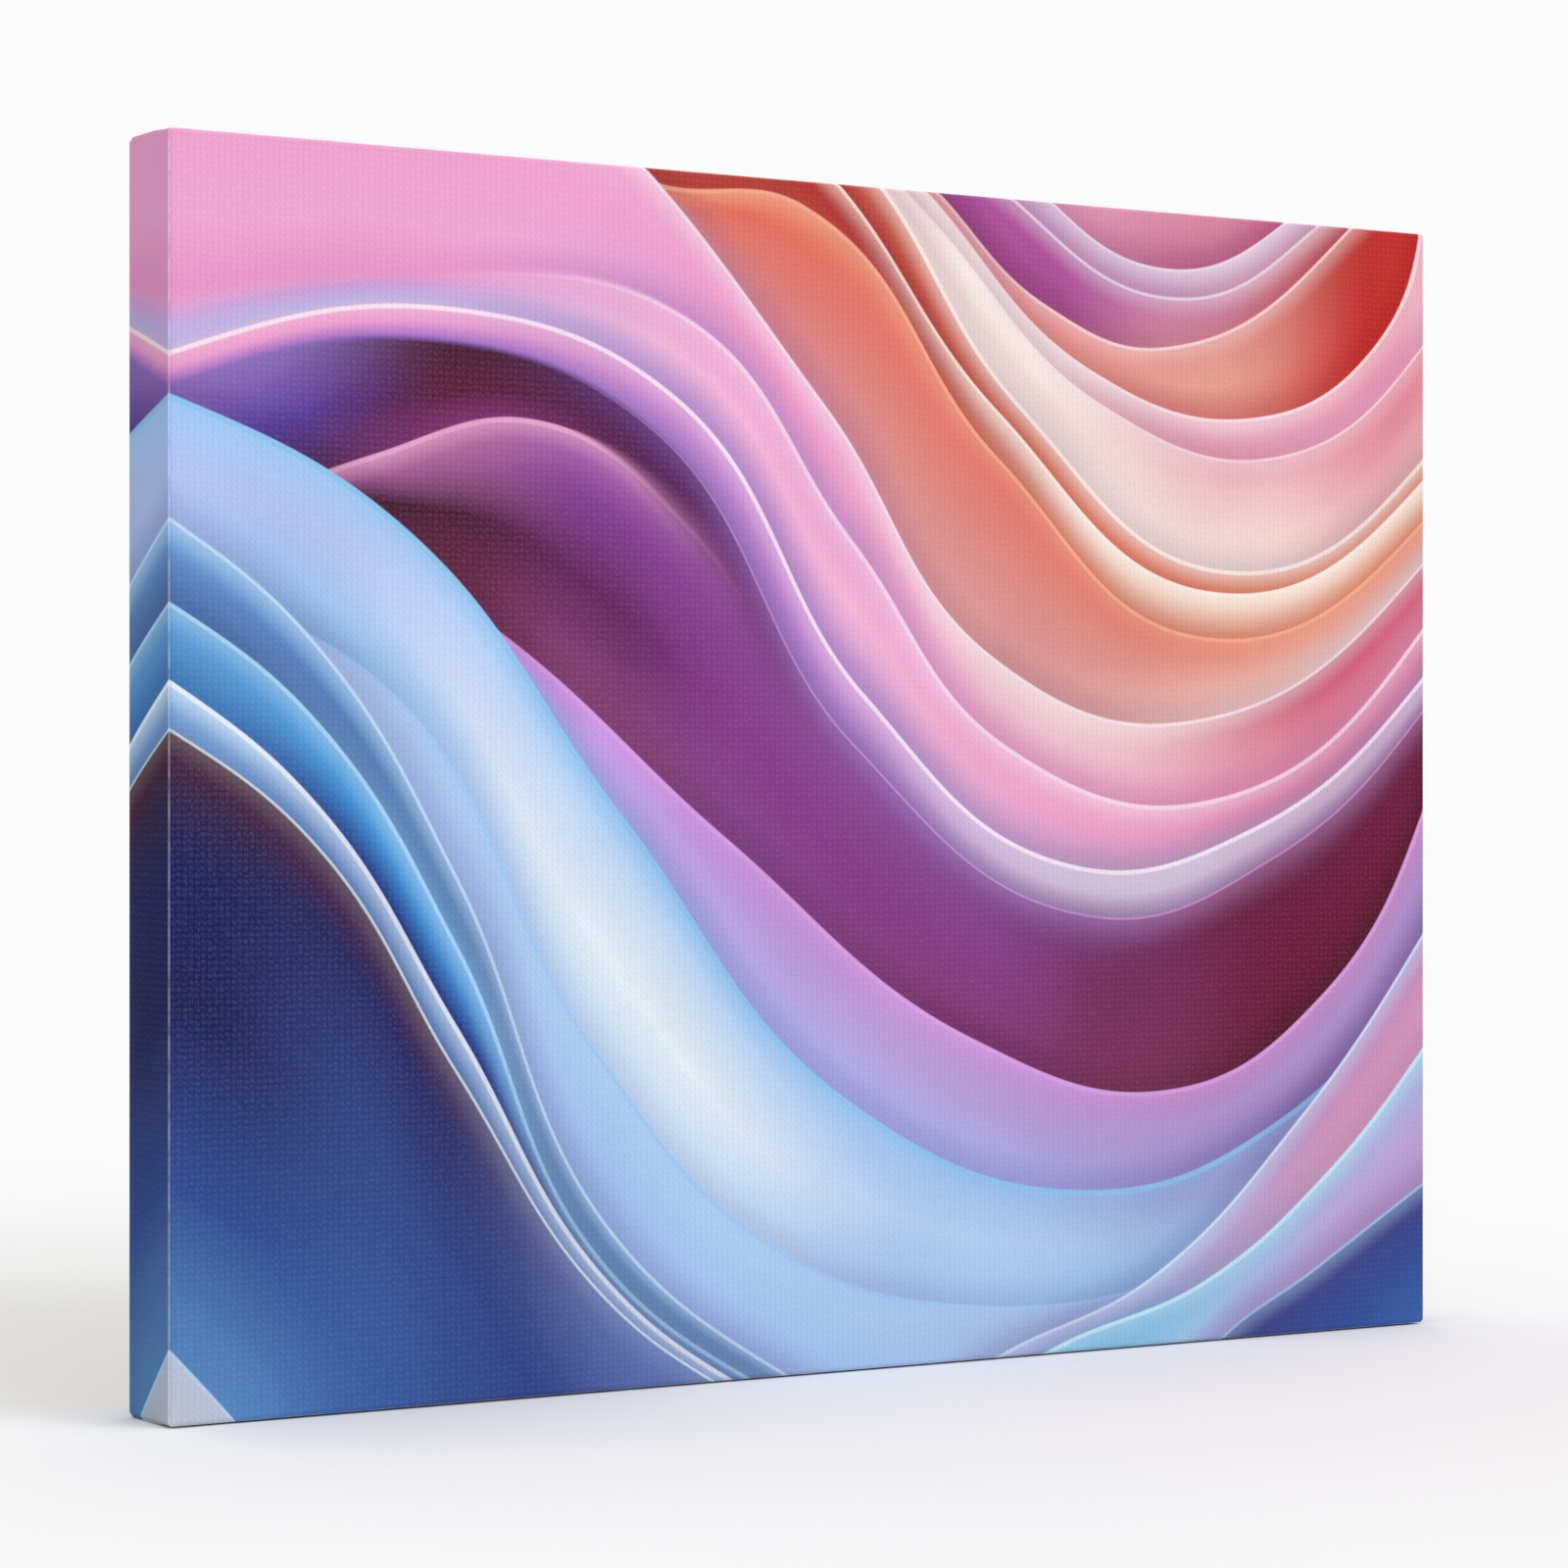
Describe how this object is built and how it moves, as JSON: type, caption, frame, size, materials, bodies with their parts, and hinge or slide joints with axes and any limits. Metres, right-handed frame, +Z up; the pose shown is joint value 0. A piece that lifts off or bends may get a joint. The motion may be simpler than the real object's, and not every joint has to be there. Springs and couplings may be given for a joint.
{
  "type": "stretched canvas",
  "caption": "Gallery-wrapped stretched canvas with an abstract ribbon print, mitred stretcher bars, loose corner keys, stapled back and sawtooth hanger.",
  "frame": {"origin": "on the wall plane, where the wall nail bears in the hanger's middle notch", "axes": "+X to the right as seen from the front, +Y from the printed face to the wall, +Z up"},
  "size_m": [0.508, 0.0347, 0.4064],
  "materials": {
    "printed_canvas": "matte, woven",
    "pine": "planed, unfinished",
    "key_wood": "sawn, unfinished",
    "staple_steel": "galvanised",
    "hanger_steel": "brass plated",
    "nail_steel": "bright",
    "bumper_rubber": "satin"
  },
  "bodies": {
    "frame": {"canvas_cloth": "printed_canvas", "stretcher_top": "pine", "stretcher_bottom": "pine", "stretcher_left": "pine", "stretcher_right": "pine", "staples_top": "staple_steel", "staples_bottom": "staple_steel", "staples_left": "staple_steel", "staples_right": "staple_steel", "sawtooth_hanger": "hanger_steel", "hanger_nails": "nail_steel", "bumper_top_left": "bumper_rubber", "bumper_top_right": "bumper_rubber", "bumper_bottom_left": "bumper_rubber", "bumper_bottom_right": "bumper_rubber"},
    "key_top_left_horizontal": {"key_top_left_horizontal": "key_wood"},
    "key_top_left_vertical": {"key_top_left_vertical": "key_wood"},
    "key_top_right_horizontal": {"key_top_right_horizontal": "key_wood"},
    "key_top_right_vertical": {"key_top_right_vertical": "key_wood"},
    "key_bottom_left_horizontal": {"key_bottom_left_horizontal": "key_wood"},
    "key_bottom_left_vertical": {"key_bottom_left_vertical": "key_wood"},
    "key_bottom_right_horizontal": {"key_bottom_right_horizontal": "key_wood"},
    "key_bottom_right_vertical": {"key_bottom_right_vertical": "key_wood"}
  },
  "joints": [
    {"name": "key_top_left_horizontal_slide", "type": "slide", "parent": "frame", "child": "key_top_left_horizontal", "axis": [1, 0, 0], "range_m": [0, 0.02]},
    {"name": "key_top_left_vertical_slide", "type": "slide", "parent": "frame", "child": "key_top_left_vertical", "axis": [0, 0, -1], "range_m": [0, 0.02]},
    {"name": "key_top_right_horizontal_slide", "type": "slide", "parent": "frame", "child": "key_top_right_horizontal", "axis": [-1, 0, 0], "range_m": [0, 0.02]},
    {"name": "key_top_right_vertical_slide", "type": "slide", "parent": "frame", "child": "key_top_right_vertical", "axis": [0, 0, -1], "range_m": [0, 0.02]},
    {"name": "key_bottom_left_horizontal_slide", "type": "slide", "parent": "frame", "child": "key_bottom_left_horizontal", "axis": [1, 0, 0], "range_m": [0, 0.02]},
    {"name": "key_bottom_left_vertical_slide", "type": "slide", "parent": "frame", "child": "key_bottom_left_vertical", "axis": [0, 0, 1], "range_m": [0, 0.02]},
    {"name": "key_bottom_right_horizontal_slide", "type": "slide", "parent": "frame", "child": "key_bottom_right_horizontal", "axis": [-1, 0, 0], "range_m": [0, 0.02]},
    {"name": "key_bottom_right_vertical_slide", "type": "slide", "parent": "frame", "child": "key_bottom_right_vertical", "axis": [0, 0, 1], "range_m": [0, 0.02]}
  ]
}
